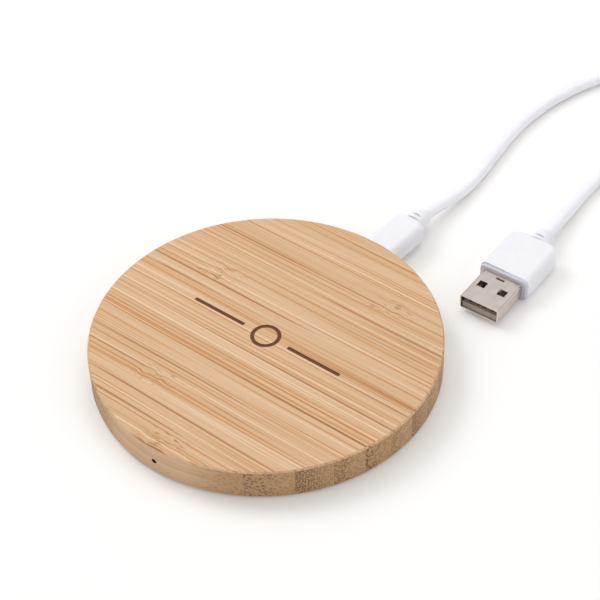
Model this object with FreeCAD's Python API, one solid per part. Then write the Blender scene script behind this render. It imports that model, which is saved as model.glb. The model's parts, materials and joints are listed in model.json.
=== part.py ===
import FreeCAD
import Part
import math
import os

# Wireless charging pad in a laminated bamboo disc, with its detachable lead.
# Millimetres. Origin at the centre of the resting plane, +Z up, +X along the grain, port at the +Y side.

# ---- bamboo disc ----
pad_diameter = 95.0
pad_height = 10.0
pocket_diameter = 76.0
cover_diameter = 87.0
top_skin = 1.8
edge_bevel = 0.4
foot_stand = 0.6
cover_gap = 0.1

# ---- engraved alignment mark ----
mark_ring_diameter = 8.4
mark_line = 1.1
mark_bar_length = 17.0
mark_bar_gap = 3.2
mark_depth = 0.2

# ---- base cover, feet and screws ----
cover_thickness = 1.2
foot_diameter = 9.0
foot_recess = 0.7
foot_circle = 60.0
foot_count = 4
base_screw_circle = 81.6
base_screw_count = 4
base_screw_diameter = 2.0
base_screw_head = 3.6
base_screw_length = 6.0
boss_diameter = 5.0
boss_height = 0.45
screw_clearance = 0.05
part_gap = 0.05

# ---- circuit board and what it carries ----
board_diameter = 73.2
board_thickness = 1.0
board_tab_width = 14.0
board_screw_circle = 66.0
board_screw_diameter = 1.6
board_screw_head = 3.0
board_screw_head_height = 0.9
board_screw_bite = 1.3
controller_size = (6.0, 6.0, 0.9)
bridge_size = (3.3, 3.3, 0.8)
resonance_size = (3.2, 2.5, 1.8)
inductor_size = (4.2, 4.2, 1.8)
capacitor_size = (1.6, 0.8, 0.8)
resistor_size = (1.6, 0.8, 0.5)
foam_size = (8.0, 4.0)
foam_circle = 46.0
foam_count = 3

# ---- transmitter coil stack, from the top skin down ----
glue_thickness = 0.2
litz_diameter = 1.1
litz_pitch = 1.16
coil_bore = 20.0
coil_turns = 9
ferrite_thickness = 0.8
ferrite_diameter = 50.0
film_thickness = 0.15
lead_wire_diameter = 0.9
lead_hole_diameter = 2.0
sensor_diameter = 1.6
sensor_leg_diameter = 0.4

# ---- status light ----
light_turn = 1.5
light_size = (3.0, 1.2, 2.6)
light_pipe_diameter = 1.4
light_pipe_recess = 1.2

# ---- charging port and its plug ----
port_turn = -2.5
port_width = 7.6
port_height = 2.5
port_wall = 0.25
port_depth = 5.6
port_mouth_inset = 4.2
port_corner = 0.5
tongue_width = 4.2
tongue_thickness = 0.45
tongue_length = 4.4
contact_count = 5
contact_pitch = 0.65
contact_width = 0.3
contact_thickness = 0.08
slide_gap = 0.1
plug_width = 10.2
plug_height = 7.2
plug_length = 20.9
plug_tip_length = 5.9
plug_face_gap = 0.6
plug_tip_root = 5.1
plug_edge = 2.2
plug_shoulder = 2.8
recess_clearance = 0.3
recess_inner_gap = 0.5

# ---- strain reliefs and cord ----
cord_diameter = 3.6
collar_length = 5.4
collar_root = 6.4
collar_end = 5.4
collar_round = 1.0
collar_slot_width = 0.7
collar_slot_depth = 0.7
collar_slot_place = 1.0

# ---- second plug, lying on the surface ----
usb_x = 36.8
usb_tip_inset = 0.2
usb_turn = 1.6
usb_shell_width = 12.0
usb_shell_height = 4.5
usb_shell_wall = 0.3
usb_shell_length = 12.7
usb_shell_root = 6.0
usb_shell_corner = 0.6
usb_window = 2.4
usb_window_spread = 6.4
usb_window_place = 6.9
usb_latch = (2.6, 0.7)
usb_latch_place = 11.2
usb_insulator_height = 1.9
usb_body_width = 15.4
usb_body_height = 7.5
usb_body_length = 18.6
usb_lip_length = 1.0
usb_lip_inset = 0.35
usb_edge = 1.8
usb_shoulder = 3.6

# ---- stored coil of the lead ----
coil_x = 54.0
coil_y = 162.0
cord_coil_mean = 39.2
cord_coil_columns = 4.25
cord_coil_layers = 2
tie_thickness = 0.6
tie_width = 8.0
tie_overlap = 5.0

# ---- places worked out from the sizes above ----
pad_radius = pad_diameter / 2
pocket_radius = pocket_diameter / 2
cover_radius = cover_diameter / 2
ceiling_z = pad_height - top_skin
cover_top = foot_stand + cover_thickness
board_bottom = cover_top + boss_height
board_top = board_bottom + board_thickness
glue_bottom = ceiling_z - glue_thickness
litz_bottom = glue_bottom - litz_diameter
ferrite_bottom = litz_bottom - ferrite_thickness
film_bottom = ferrite_bottom - film_thickness
port_z = board_top + port_height / 2
port_mouth = pad_radius - port_mouth_inset
port_cavity_back = port_mouth - port_depth
plug_face = port_mouth + plug_face_gap
plug_tip = plug_face - plug_tip_length
plug_back = plug_face + plug_length
plug_shell_width = port_width - 2 * port_wall - 2 * slide_gap
plug_shell_height = port_height - 2 * port_wall - 2 * slide_gap
tongue_top = port_z + plug_shell_height / 2 - port_wall - part_gap
tongue_bottom = tongue_top - tongue_thickness
contact_gap = 0.03
shelf_top = tongue_bottom - 2 * contact_thickness - contact_gap
light_z = board_top + light_size[2] / 2
light_y = -(board_diameter / 2 - light_size[1])
usb_z = usb_body_height / 2
usb_tip_y = pad_radius - usb_tip_inset
usb_body_front = usb_tip_y + usb_shell_length
usb_body_back = usb_body_front + usb_body_length
cord_z = cord_diameter / 2
cord_coil_outer = cord_coil_mean / 2 + cord_coil_columns * cord_diameter / 2
cord_coil_inner = cord_coil_mean / 2 - cord_coil_columns * cord_diameter / 2
cord_coil_base = tie_thickness
cord_coil_top = cord_coil_base + cord_coil_layers * cord_diameter
outer_turn = cord_coil_outer - cord_diameter / 2
low_turn_z = cord_coil_base + cord_z
high_turn_z = low_turn_z + cord_diameter


def vec(x, y, z):
    return FreeCAD.Vector(x, y, z)


def disc(radius, low, high, x=0.0, y=0.0):
    return Part.makeCylinder(radius, high - low, vec(x, y, low))


def block(x_span, y_span, z_span):
    size = [span[1] - span[0] for span in (x_span, y_span, z_span)]
    return Part.makeBox(size[0], size[1], size[2], vec(x_span[0], y_span[0], z_span[0]))


def centred_block(size, x, y, low):
    half_x = size[0] / 2
    half_y = size[1] / 2
    return block((x - half_x, x + half_x), (y - half_y, y + half_y), (low, low + size[2]))


def rod_along_y(radius, x, z, start, end):
    return Part.makeCylinder(radius, end - start, vec(x, start, z), vec(0, 1, 0))


def turned(shape, degrees):
    copy = shape.copy()
    copy.rotate(vec(0, 0, 0), vec(0, 0, 1), degrees)
    return copy


def at_port(shape):
    """Turn something built along +Y onto the port's own radius."""
    return turned(shape, port_turn)


def at_usb_plug(shape):
    """Turn something of the second plug about its tip, to lie as the plug lies."""
    copy = shape.copy()
    copy.rotate(vec(usb_x, usb_tip_y, 0), vec(0, 0, 1), usb_turn)
    return copy


def on_circle(diameter, degrees):
    angle = math.radians(degrees)
    return diameter / 2 * math.cos(angle), diameter / 2 * math.sin(angle)


def places(count, diameter, first):
    return [on_circle(diameter, first + 360.0 * i / count) for i in range(count)]


def edges_along(shape, axis):
    found = []
    for edge in shape.Edges:
        run = edge.Vertexes[-1].Point - edge.Vertexes[0].Point
        if run.Length > 1e-6 and abs(run.normalize().dot(axis)) > 0.999:
            found.append(edge)
    return found


def rounded_bar(width, height, corner, x, z, start, end):
    """Bar along Y with its four long edges rounded."""
    bar = block((x - width / 2, x + width / 2), (start, end), (z - height / 2, z + height / 2))
    return bar.makeFillet(corner, edges_along(bar, vec(0, 1, 0)))


def hollow_bar(width, height, wall, corner, x, z, start, end):
    """Folded metal shell along Y, open at both ends."""
    outside = rounded_bar(width, height, corner, x, z, start, end)
    inside = rounded_bar(width - 2 * wall, height - 2 * wall, corner - wall / 2, x, z, start - 1, end + 1)
    return outside.cut(inside)


def moulded_grip(width, height, edge, shoulder, x, z, start, end):
    """Overmoulded plug body: wide shoulders at the cord's end, softly rounded long edges."""
    bar = block((x - width / 2, x + width / 2), (start, end), (z - height / 2, z + height / 2))
    upright = [e for e in edges_along(bar, vec(0, 0, 1)) if e.Vertexes[0].Y > end - 0.01]
    bar = bar.makeFillet(shoulder, upright)
    rims = [e for e in bar.Edges if e.BoundBox.ZLength < 0.01 and e.BoundBox.YMax > start + 0.01]
    return bar.makeFillet(edge, rims)


def strain_relief(x, z, start):
    """Tapered collar along Y with two flexing slots, one above and one below."""
    end = start + collar_length
    collar = Part.makeCone(collar_root / 2, collar_end / 2, collar_length, vec(x, start, z), vec(0, 1, 0))
    rim = [e for e in collar.Edges if e.BoundBox.YMin > end - 0.01]
    collar = collar.makeFillet(collar_round, rim)
    slot_y = start + collar_slot_place
    reach = collar_root / 2 - collar_slot_depth
    for side in (-1, 1):
        low = z + side * reach if side > 0 else z - collar_root
        high = z + collar_root if side > 0 else z - reach
        slot = block((x - collar_root, x + collar_root), (slot_y, slot_y + collar_slot_width), (low, high))
        collar = collar.cut(slot)
    return collar


def countersunk_screw(x, y, head_z, head, shank, length):
    """Wood screw with its head down, driven upwards; cross recess in the head."""
    sink = (head - shank) / 2
    screw = Part.makeCone(head / 2, shank / 2, sink, vec(x, y, head_z))
    screw = screw.fuse(disc(shank / 2, head_z + sink, head_z + length, x, y))
    for size in ((head * 0.6, head * 0.14, sink * 0.6), (head * 0.14, head * 0.6, sink * 0.6)):
        screw = screw.cut(centred_block(size, x, y, head_z))
    return screw.removeSplitter()


def pan_screw(x, y, seat_z):
    """Board screw, head up, shank down."""
    head = disc(board_screw_head / 2, seat_z, seat_z + board_screw_head_height, x, y)
    shank = disc(board_screw_diameter / 2, seat_z - board_thickness - board_screw_bite, seat_z, x, y)
    screw = head.fuse(shank)
    top = seat_z + board_screw_head_height
    drive = board_screw_head_height / 2
    for size in ((board_screw_head * 0.6, board_screw_head * 0.16, drive),
                 (board_screw_head * 0.16, board_screw_head * 0.6, drive)):
        screw = screw.cut(centred_block(size, x, y, top - drive))
    return screw.removeSplitter()


def base_screw_places():
    return places(base_screw_count, base_screw_circle, 45.0)


def foot_places():
    return places(foot_count, foot_circle, 45.0)


def board_screw_places():
    return [on_circle(board_screw_circle, degrees) for degrees in (0.0, 120.0, 240.0)]


def foam_places():
    return [(on_circle(foam_circle, degrees), degrees) for degrees in (60.0, 180.0, 300.0)][:foam_count]


def coil_lead_places():
    inner = coil_bore / 2 + litz_diameter / 2
    outer = inner + coil_turns * litz_pitch
    return [(inner, 0.0), (outer, 0.0)]


def alignment_mark():
    """Ring with a bar on each side, along the grain, to be cut into the top."""
    low = pad_height - mark_depth
    high = pad_height + 1
    ring = disc(mark_ring_diameter / 2, low, high).cut(disc(mark_ring_diameter / 2 - mark_line, low, high))
    start = mark_ring_diameter / 2 + mark_bar_gap
    shapes = [ring]
    for side in (-1, 1):
        near = side * start
        far = side * (start + mark_bar_length)
        shapes.append(block((min(near, far), max(near, far)), (-mark_line / 2, mark_line / 2), (low, high)))
    return Part.makeCompound(shapes)


def bamboo_body():
    body = disc(pad_radius, foot_stand, pad_height)
    rims = [e for e in body.Edges if e.BoundBox.ZLength < 0.01]
    body = body.makeChamfer(edge_bevel, rims)
    below = foot_stand - 1
    body = body.cut(disc(pocket_radius, below, ceiling_z))
    body = body.cut(disc(cover_radius + cover_gap, below, cover_top))
    tab_half = board_tab_width / 2 + recess_inner_gap
    channel_top = port_z + port_height / 2 + recess_clearance
    channel = block((-tab_half, tab_half), (0, port_mouth + part_gap), (below, channel_top))
    body = body.cut(at_port(channel))
    half = plug_width / 2 + recess_clearance
    roof = port_z + plug_height / 2 + recess_clearance
    mouth = block((-half, half), (port_mouth - recess_inner_gap, pad_radius + 1), (below, roof))
    upper = [e for e in edges_along(mouth, vec(0, 1, 0)) if e.Vertexes[0].Z > roof - 0.01]
    body = body.cut(at_port(mouth.makeFillet(plug_edge + recess_clearance, upper)))
    bore = rod_along_y(light_pipe_diameter / 2 + part_gap, 0, light_z, -pad_radius - 1, -pocket_radius + 2)
    body = body.cut(turned(bore, light_turn))
    pilot_top = foot_stand + base_screw_length + screw_clearance
    for x, y in base_screw_places():
        body = body.cut(disc(base_screw_diameter / 2 + screw_clearance, below, pilot_top, x, y))
    return body.cut(alignment_mark())


def base_cover():
    cover = disc(cover_radius, foot_stand, cover_top)
    for x, y in board_screw_places():
        cover = cover.fuse(disc(boss_diameter / 2, cover_top, board_bottom, x, y))
    pilot_bottom = board_bottom - board_screw_bite - screw_clearance
    for x, y in board_screw_places():
        hole = disc(board_screw_diameter / 2 + screw_clearance, pilot_bottom, board_bottom + 1, x, y)
        cover = cover.cut(hole)
    sink = (base_screw_head - base_screw_diameter) / 2
    for x, y in base_screw_places():
        head = Part.makeCone(base_screw_head / 2 + screw_clearance, base_screw_diameter / 2 + screw_clearance,
                             sink, vec(x, y, foot_stand))
        cover = cover.cut(head)
        cover = cover.cut(disc(base_screw_diameter / 2 + screw_clearance, foot_stand, cover_top + 1, x, y))
    for x, y in foot_places():
        cover = cover.cut(disc(foot_diameter / 2 + part_gap, foot_stand - 1, foot_stand + foot_recess, x, y))
    return cover


def base_screws():
    return [countersunk_screw(x, y, foot_stand, base_screw_head, base_screw_diameter, base_screw_length)
            for x, y in base_screw_places()]


def rubber_feet():
    feet = []
    for x, y in foot_places():
        foot = disc(foot_diameter / 2, 0, foot_stand + foot_recess, x, y)
        rim = [e for e in foot.Edges if e.BoundBox.ZLength < 0.01 and e.BoundBox.ZMin < 0.01]
        feet.append(foot.makeFillet(foot_stand / 2, rim))
    return feet


def main_board():
    board = disc(board_diameter / 2, board_bottom, board_top)
    half = board_tab_width / 2
    tab = block((-half, half), (0, port_mouth - recess_inner_gap), (board_bottom, board_top))
    board = board.fuse(at_port(tab))
    for x, y in board_screw_places():
        board = board.cut(disc(board_screw_diameter / 2 + screw_clearance, board_bottom - 1, board_top + 1, x, y))
    return board.removeSplitter()


def board_screws():
    return [pan_screw(x, y, board_top) for x, y in board_screw_places()]


def transmitter_coil():
    """Flat spiral of litz wire made of half turns, each pair growing by one pitch."""
    z = litz_bottom + litz_diameter / 2
    edges = []
    radius = coil_bore / 2 + litz_diameter / 2
    centre = 0.0
    point = radius
    for half in range(2 * coil_turns):
        side = 1 if half % 2 == 0 else -1
        start = vec(point, 0, z)
        middle = vec(centre, side * radius, z)
        end = vec(point - side * 2 * radius, 0, z)
        edges.append(Part.Arc(start, middle, end).toShape())
        point = end.x
        radius += litz_pitch / 2
        centre = point + side * radius
    path = Part.Wire(edges)
    start_x = coil_bore / 2 + litz_diameter / 2
    circle = Part.Circle(vec(start_x, 0, z), vec(0, 1, 0), litz_diameter / 2)
    return path.makePipeShell([Part.Wire([circle.toShape()])], True, False)


def coil_leads():
    leads = []
    for x, y in coil_lead_places():
        leads.append(disc(lead_wire_diameter / 2, board_top, litz_bottom - part_gap, x, y))
    return leads


def pierced_disc(diameter, low, high):
    """Disc under the coil with a hole for each lead and one in the middle for the sensor."""
    plate = disc(diameter / 2, low, high)
    for x, y in coil_lead_places():
        plate = plate.cut(disc(lead_hole_diameter / 2, low - 1, high + 1, x, y))
    return plate


def coil_adhesive():
    outer = coil_bore / 2 + litz_diameter + coil_turns * litz_pitch
    return disc(outer, glue_bottom, ceiling_z).cut(disc(coil_bore / 2, glue_bottom, ceiling_z))


def coil_sensor():
    """Temperature sensor under the middle of the coil, standing on two legs."""
    bead_bottom = film_bottom - sensor_diameter
    bead = disc(sensor_diameter / 2, bead_bottom, film_bottom)
    for side in (-1, 1):
        leg = disc(sensor_leg_diameter / 2, board_top, bead_bottom + 0.4, side * sensor_diameter / 4, 0)
        bead = bead.fuse(leg)
    return bead.removeSplitter()


def foam_spacers():
    spacers = []
    for (x, y), degrees in foam_places():
        piece = centred_block((foam_size[0], foam_size[1], film_bottom - board_top), 0, 0, board_top)
        piece.rotate(vec(0, 0, 0), vec(0, 0, 1), degrees + 90)
        piece.translate(vec(x, y, 0))
        spacers.append(piece)
    return spacers


def chips_in_row(size, count, x, y, step_x, step_y):
    return [centred_block(size, x + i * step_x, y + i * step_y, board_top) for i in range(count)]


def charge_controller():
    return centred_block(controller_size, 0, 13.0, board_top)


def bridge_transistors():
    return chips_in_row(bridge_size, 4, -8.0, -10.0, 5.0, 0)


def resonance_capacitors():
    return chips_in_row(resonance_size, 4, 26.5, -7.0, 0, 4.2)


def power_inductor():
    return centred_block(inductor_size, -12.0, 24.0, board_top)


def chip_capacitors():
    row = chips_in_row(capacitor_size, 4, -8.0, 19.0, 4.0, 0)
    return row + chips_in_row(capacitor_size, 4, -12.0, -15.0, 8.0, 0)


def chip_resistors():
    row = chips_in_row(resistor_size, 6, -9.0, 5.0, 0, 2.0)
    return row + chips_in_row(resistor_size, 6, 9.5, 4.0, 0, 2.0)


def status_led():
    led = block((-light_size[0] / 2, light_size[0] / 2), (light_y, light_y + light_size[1]),
                (board_top, board_top + light_size[2]))
    return turned(led, light_turn)


def light_pipe():
    pipe = rod_along_y(light_pipe_diameter / 2, 0, light_z, -pad_radius + light_pipe_recess, light_y - part_gap)
    return turned(pipe, light_turn)


def contact_offsets():
    return [(i - (contact_count - 1) / 2) * contact_pitch for i in range(contact_count)]


def port_contacts():
    """Springs under the tongue that run out of the back and down to the board."""
    contacts = []
    tail_y = port_cavity_back - port_wall * 4
    top = (tongue_bottom - contact_thickness, tongue_bottom)
    for offset in contact_offsets():
        span = (offset - contact_width / 2, offset + contact_width / 2)
        strip = block(span, (tail_y, port_cavity_back + tongue_length - 0.4), top)
        tail = block(span, (tail_y, tail_y + contact_thickness), (board_top, tongue_bottom))
        contacts.append(strip.fuse(tail).removeSplitter())
    return contacts


def port_shell():
    return hollow_bar(port_width, port_height, port_wall, port_corner, 0, port_z,
                      port_cavity_back - 2 * port_wall, port_mouth)


def port_tongue():
    inner_half = port_width / 2 - port_wall - part_gap
    inner_tall = port_height / 2 - port_wall - part_gap
    back = rounded_bar(2 * inner_half, 2 * inner_tall, port_corner - port_wall / 2, 0, port_z,
                       port_cavity_back - 2 * port_wall, port_cavity_back)
    tongue = block((-tongue_width / 2, tongue_width / 2),
                   (port_cavity_back - port_wall, port_cavity_back + tongue_length), (tongue_bottom, tongue_top))
    return back.fuse(tongue).cut(Part.makeCompound(port_contacts())).removeSplitter()


def port_plug_shell():
    return hollow_bar(plug_shell_width, plug_shell_height, port_wall, port_corner - slide_gap, 0, port_z,
                      plug_tip, plug_face + plug_tip_root)


def port_plug_contacts():
    contacts = []
    for offset in contact_offsets():
        span = (offset - contact_width / 2, offset + contact_width / 2)
        contacts.append(block(span, (plug_tip + 0.5, plug_face + plug_tip_root),
                              (shelf_top, shelf_top + contact_thickness)))
    return contacts


def port_plug_insert():
    half = plug_shell_width / 2 - port_wall - part_gap
    tall = plug_shell_height / 2 - port_wall - part_gap
    corner = port_corner - slide_gap - port_wall / 2
    rear = rounded_bar(2 * half, 2 * tall, corner, 0, port_z,
                       port_cavity_back + tongue_length + 0.4, plug_face + plug_tip_root)
    shelf = block((-half + corner, half - corner), (plug_tip + 0.3, plug_face), (port_z - tall, shelf_top))
    return rear.fuse(shelf).cut(Part.makeCompound(port_plug_contacts())).removeSplitter()


def port_plug_body():
    body = moulded_grip(plug_width, plug_height, plug_edge, plug_shoulder, 0, port_z, plug_face, plug_back)
    core = rounded_bar(plug_shell_width, plug_shell_height, port_corner - slide_gap, 0, port_z,
                       plug_face - 1, plug_face + plug_tip_root)
    return body.cut(core)


def usb_shell_outline(grow, start, end):
    return rounded_bar(usb_shell_width + 2 * grow, usb_shell_height + 2 * grow, usb_shell_corner + grow,
                       usb_x, usb_z, start, end)


def usb_plug_shell():
    end = usb_body_front + usb_shell_root
    shell = usb_shell_outline(0, usb_tip_y, end).cut(usb_shell_outline(-usb_shell_wall, usb_tip_y - 1, end + 1))
    top = usb_z + usb_shell_height / 2
    for side in (-1, 1):
        x = usb_x + side * usb_window_spread / 2
        window = centred_block((usb_window, usb_window, usb_shell_height + 2), x, usb_tip_y + usb_window_place,
                               usb_z - usb_shell_height / 2 - 1)
        shell = shell.cut(window)
    latch = centred_block((usb_latch[0], usb_latch[1], 2), usb_x, usb_tip_y + usb_latch_place, top - 1)
    return shell.cut(latch)


def usb_plug_contacts():
    """Four spring contacts lying on the insulator."""
    low = usb_z - usb_shell_height / 2 + usb_shell_wall + usb_insulator_height
    contacts = []
    for offset in (-3.5, -1.0, 1.0, 3.5):
        span = (usb_x + offset - 0.5, usb_x + offset + 0.5)
        contacts.append(block(span, (usb_tip_y + 1.2, usb_body_front + usb_shell_root - 1), (low - 0.1, low + 0.1)))
    return contacts


def usb_plug_insulator():
    bottom = usb_z - usb_shell_height / 2 + usb_shell_wall + part_gap
    top = usb_z + usb_shell_height / 2 - usb_shell_wall - part_gap
    half = usb_shell_width / 2 - usb_shell_wall - usb_shell_corner / 2
    shelf_high = usb_z - usb_shell_height / 2 + usb_shell_wall + usb_insulator_height
    end = usb_body_front + usb_shell_root
    shelf = block((usb_x - half, usb_x + half), (usb_tip_y + 0.4, end), (bottom, shelf_high))
    rear = block((usb_x - half, usb_x + half), (usb_body_front - 1, end), (bottom, top))
    return shelf.fuse(rear).cut(Part.makeCompound(usb_plug_contacts())).removeSplitter()


def usb_plug_body():
    start = usb_body_front + usb_lip_length
    body = moulded_grip(usb_body_width, usb_body_height, usb_edge, usb_shoulder, usb_x, usb_z, start, usb_body_back)
    lip = rounded_bar(usb_body_width - 2 * usb_lip_inset, usb_body_height - 2 * usb_lip_inset,
                      usb_edge - usb_lip_inset, usb_x, usb_z, usb_body_front, start + usb_lip_length)
    body = body.fuse(lip)
    return body.cut(usb_shell_outline(0, usb_body_front - 1, usb_body_front + usb_shell_root)).removeSplitter()


def coil_entry():
    return (coil_x, coil_y + outer_turn, high_turn_z)


def coil_exit():
    return (coil_x, coil_y - outer_turn, low_turn_z)


def port_collar_end():
    reach = plug_back + collar_length
    angle = math.radians(port_turn)
    return (-reach * math.sin(angle), reach * math.cos(angle), port_z)


def usb_collar_end():
    reach = usb_body_back + collar_length - usb_tip_y
    angle = math.radians(usb_turn)
    return (usb_x - reach * math.sin(angle), usb_tip_y + reach * math.cos(angle), usb_z)


def pad_side_route():
    """Centre line of the lead from the port plug's strain relief to the stored coil."""
    return [port_collar_end(),
            (4.2, 79.6, 3.4),
            (4.9, 89.5, 1.9),
            (3.9, 100.5, cord_z),
            (2.2, 112.5, cord_z),
            (1.2, 125.5, cord_z),
            (2.3, 138.5, cord_z),
            (5.6, 151.3, cord_z),
            (10.8, 162.8, cord_z),
            (18.2, 173.0, 2.3),
            (28.2, 181.3, 3.9),
            (40.6, 186.2, 5.5),
            coil_entry()]


def plug_side_route():
    """Centre line of the lead from the stored coil to the second plug's strain relief."""
    return [coil_exit(),
            (44.9, 135.6, low_turn_z - 0.2),
            (37.6, 129.7, cord_z + 0.1),
            (34.3, 120.2, cord_z),
            (33.9, 108.5, cord_z),
            (34.9, 96.5, cord_z + 0.4),
            usb_collar_end()]


def route_edges(route):
    """Straight runs joined by arcs as large as their runs allow."""
    points = [vec(*p) for p in route]
    edges = []
    radii = []
    start = points[0]
    for before, corner, after in zip(points, points[1:], points[2:]):
        incoming = (corner - before).normalize()
        outgoing = (after - corner).normalize()
        turn = incoming.getAngle(outgoing)
        trim = 0.45 * min((corner - before).Length, (after - corner).Length)
        radius = trim / math.tan(turn / 2)
        arc_start = corner - incoming * trim
        arc_end = corner + outgoing * trim
        bisector = (outgoing - incoming).normalize()
        centre = corner + bisector * (radius / math.cos(turn / 2))
        middle = centre - bisector * radius
        edges.append(Part.LineSegment(start, arc_start).toShape())
        edges.append(Part.Arc(arc_start, middle, arc_end).toShape())
        radii.append(radius)
        start = arc_end
    edges.append(Part.LineSegment(start, points[-1]).toShape())
    return edges, radii


def cord_tube(name, route):
    edges, radii = route_edges(route)
    path = Part.Wire(edges)
    heading = vec(*route[1]) - vec(*route[0])
    circle = Part.Circle(vec(*route[0]), heading, cord_diameter / 2)
    tube = path.makePipeShell([Part.Wire([circle.toShape()])], True, False)
    expected = math.pi * cord_diameter ** 2 / 4 * path.Length
    print(name, "length", round(path.Length, 1), "volume ratio", round(tube.Volume / expected, 4),
          "radii", [round(r, 1) for r in radii])
    return tube


def cord_coil():
    """Outer shape of the wound lead: a flat ring."""
    outer = disc(cord_coil_outer, cord_coil_base, cord_coil_top, coil_x, coil_y)
    return outer.cut(disc(cord_coil_inner, cord_coil_base - 1, cord_coil_top + 1, coil_x, coil_y))


def coil_tie():
    """Flat strap round the turns, its end lapped over the top."""
    outer_x = coil_x + cord_coil_outer + tie_thickness
    inner_x = coil_x + cord_coil_inner - tie_thickness
    half = tie_width / 2
    strap = block((inner_x, outer_x), (coil_y - half, coil_y + half), (0, cord_coil_top + tie_thickness))
    strap = strap.makeFillet(tie_thickness, edges_along(strap, vec(0, 1, 0)))
    strap = strap.cut(cord_coil())
    lap_top = cord_coil_top + 2 * tie_thickness
    lap = block((outer_x - 2 * tie_overlap, outer_x - tie_overlap), (coil_y - half, coil_y + half),
                (cord_coil_top + tie_thickness, lap_top))
    return strap.fuse(lap).removeSplitter()


def pad_parts():
    return {
        "bamboo_body": [bamboo_body()],
        "base_cover": [base_cover()],
        "base_screws": base_screws(),
        "rubber_feet": rubber_feet(),
        "main_board": [main_board()],
        "board_screws": board_screws(),
        "transmitter_coil": [transmitter_coil()],
        "coil_leads": coil_leads(),
        "ferrite_plate": [pierced_disc(ferrite_diameter, ferrite_bottom, litz_bottom)],
        "insulating_film": [pierced_disc(ferrite_diameter, film_bottom, ferrite_bottom)],
        "coil_adhesive": [coil_adhesive()],
        "coil_temperature_sensor": [coil_sensor()],
        "foam_spacers": foam_spacers(),
        "charge_controller": [charge_controller()],
        "bridge_transistors": bridge_transistors(),
        "resonance_capacitors": resonance_capacitors(),
        "power_inductor": [power_inductor()],
        "chip_capacitors": chip_capacitors(),
        "chip_resistors": chip_resistors(),
        "status_led": [status_led()],
        "light_pipe": [light_pipe()],
    }


def port_parts():
    """Port and its plug, built along +Y."""
    return {
        "port_shell": [port_shell()],
        "port_tongue": [port_tongue()],
        "port_contacts": port_contacts(),
        "port_plug_body": [port_plug_body()],
        "port_plug_shell": [port_plug_shell()],
        "port_plug_insert": [port_plug_insert()],
        "port_plug_contacts": port_plug_contacts(),
        "port_plug_collar": [strain_relief(0, port_z, plug_back)],
    }


def usb_plug_parts():
    """Second plug, built along +Y from its tip."""
    return {
        "usb_plug_collar": [strain_relief(usb_x, usb_z, usb_body_back)],
        "usb_plug_body": [usb_plug_body()],
        "usb_plug_shell": [usb_plug_shell()],
        "usb_plug_insulator": [usb_plug_insulator()],
        "usb_plug_contacts": usb_plug_contacts(),
    }


def cord_parts():
    return {
        "cord_from_pad": [cord_tube("cord_from_pad", pad_side_route())],
        "cord_coil": [cord_coil()],
        "coil_tie": [coil_tie()],
        "cord_to_plug": [cord_tube("cord_to_plug", plug_side_route())],
    }


def build():
    parts = {**pad_parts(), **cord_parts()}
    for name, solids in port_parts().items():
        parts[name] = [at_port(solid) for solid in solids]
    for name, solids in usb_plug_parts().items():
        parts[name] = [at_usb_plug(solid) for solid in solids]
    return parts


def write_parts():
    os.makedirs("parts", exist_ok=True)
    for name, solids in build().items():
        shape = solids[0] if len(solids) == 1 else Part.makeCompound(solids)
        if not shape.isValid():
            print("invalid shape:", name)
        print(name, "solids", len(shape.Solids), "volume", round(shape.Volume, 2))
        shape.exportStep("parts/" + name + ".step")


write_parts()
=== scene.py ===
"""Bamboo wireless charging pad with its white lead, dressed for rendering.

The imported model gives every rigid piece. This file adds the finishes, the flexible cord, the woven
strap round its stored turns, the floor, the lamps and the camera.
"""

import json
import logging
import math
from dataclasses import dataclass, field
from enum import Enum
from typing import Sequence

import bpy
from mathutils import Matrix, Vector

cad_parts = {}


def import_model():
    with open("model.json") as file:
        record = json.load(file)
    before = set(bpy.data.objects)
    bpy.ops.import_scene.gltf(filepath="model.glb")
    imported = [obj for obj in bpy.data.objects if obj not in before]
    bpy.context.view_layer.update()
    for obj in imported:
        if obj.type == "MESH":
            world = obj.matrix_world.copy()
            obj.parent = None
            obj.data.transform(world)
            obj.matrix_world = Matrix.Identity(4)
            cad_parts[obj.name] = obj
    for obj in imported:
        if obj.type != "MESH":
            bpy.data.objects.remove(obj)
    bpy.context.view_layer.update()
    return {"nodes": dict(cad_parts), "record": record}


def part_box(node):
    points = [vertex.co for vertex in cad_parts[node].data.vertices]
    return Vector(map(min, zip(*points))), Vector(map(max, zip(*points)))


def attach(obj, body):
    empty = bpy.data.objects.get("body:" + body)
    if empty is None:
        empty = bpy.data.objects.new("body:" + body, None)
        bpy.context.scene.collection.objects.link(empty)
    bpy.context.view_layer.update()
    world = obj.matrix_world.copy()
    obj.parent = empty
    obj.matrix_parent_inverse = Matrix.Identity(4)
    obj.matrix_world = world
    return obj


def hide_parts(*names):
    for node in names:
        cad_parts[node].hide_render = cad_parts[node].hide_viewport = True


LOG = logging.getLogger("charging_pad")
MM = 0.001
LEAD_BODY = "lead"

Point = tuple[float, float, float]
Rgb = tuple[float, float, float]
Shown = tuple[int, int, int]
Socket = bpy.types.NodeSocket
Value = float | Socket


def from_display(red: int, green: int, blue: int) -> Rgb:
    """Turn a colour as it shows on a display, 0 to 255, into linear light.

    Args:
        red: Displayed red.
        green: Displayed green.
        blue: Displayed blue.

    Returns:
        The same colour in linear light, 0 to 1.
    """

    def linear(level: int) -> float:
        """Turn one displayed level into linear light."""
        share = level / 255
        return share / 12.92 if share <= 0.04045 else ((share + 0.055) / 1.055) ** 2.4

    return linear(red), linear(green), linear(blue)


# Painted shade for the grooves and inner corners of moulded parts.
PAINTED_GROOVE_SHADE = from_display(128, 130, 140)
# Painted shade for the front lip of the USB plug's grip.
PAINTED_LIP_SHADE = from_display(200, 200, 208)


class Grain(Enum):
    """How a moulded surface is textured."""

    SATIN = "satin"
    SPARK = "spark"
    PORES = "pores"


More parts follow.
